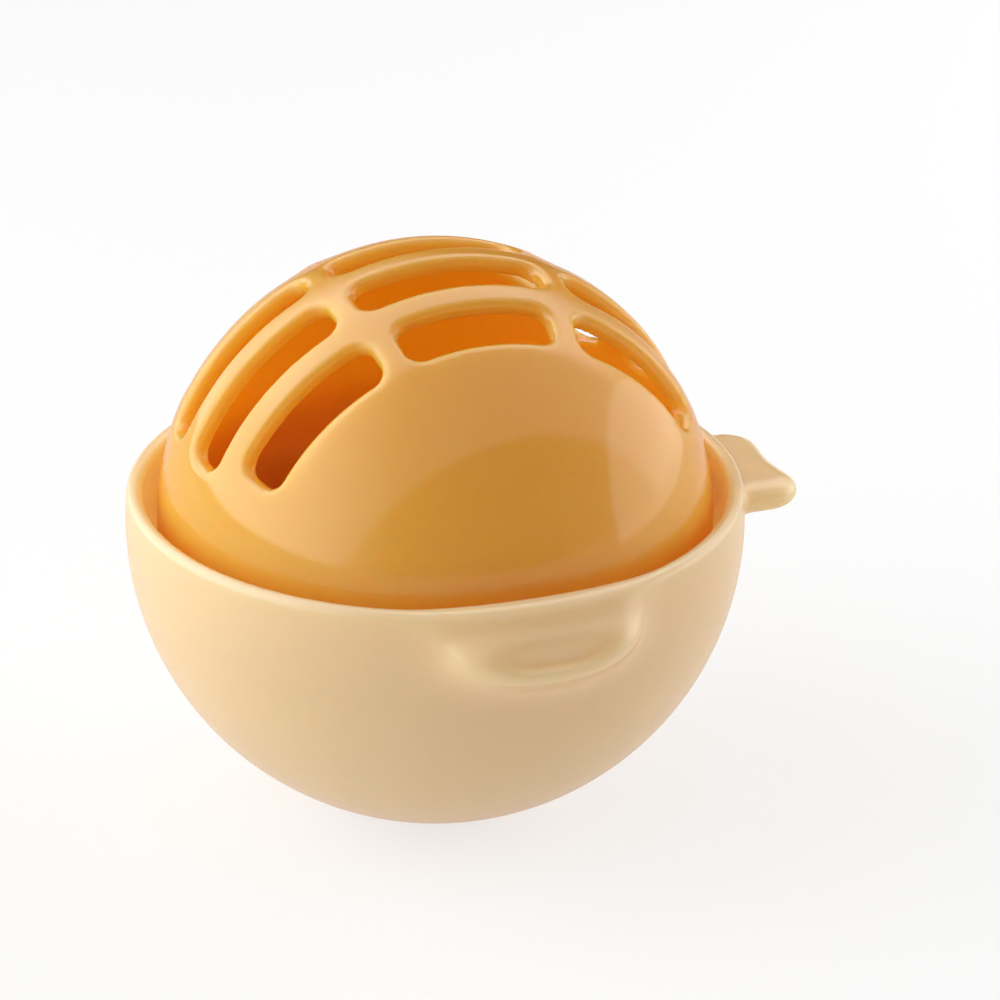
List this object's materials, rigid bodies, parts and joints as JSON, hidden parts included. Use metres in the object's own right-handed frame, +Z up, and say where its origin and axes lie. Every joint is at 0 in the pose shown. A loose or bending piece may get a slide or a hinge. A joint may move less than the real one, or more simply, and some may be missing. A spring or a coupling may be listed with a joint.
{
  "type": "lint catcher ball",
  "caption": "Hollow slotted ball seated in a round bowl with a tail fluke and side fins; water carries lint in through the slots and the dome and screen lift off to clear it.",
  "frame": {"origin": "middle of the flat foot under the bowl, on the ball's upright axis", "axes": "+Z up, +X toward the tail, fins on +Y and -Y"},
  "size_m": [0.0922, 0.093, 0.0782],
  "materials": {
    "cream_plastic": "smooth glossy moulded plastic, warm cream",
    "yellow_plastic": "smooth glossy moulded plastic, warm yellow",
    "white_plastic": "satin moulded plastic, off-white",
    "white_net": "woven nylon net, off-white"
  },
  "bodies": {
    "base": {"base_bowl": "cream_plastic"},
    "cup": {"strainer_cup": "yellow_plastic"},
    "dome": {"vent_dome": "yellow_plastic"},
    "screen": {"screen_frame": "white_plastic", "screen_net": "white_net"}
  },
  "joints": [
    {"name": "ball_lift", "type": "slide", "parent": "base", "child": "cup", "axis": [0, 0, 1], "range_m": [0, 0.05]},
    {"name": "dome_lift", "type": "slide", "parent": "cup", "child": "dome", "axis": [0, 0, 1], "range_m": [0, 0.045]},
    {"name": "screen_lift", "type": "slide", "parent": "cup", "child": "screen", "axis": [0, 0, 1], "range_m": [0, 0.025]}
  ]
}
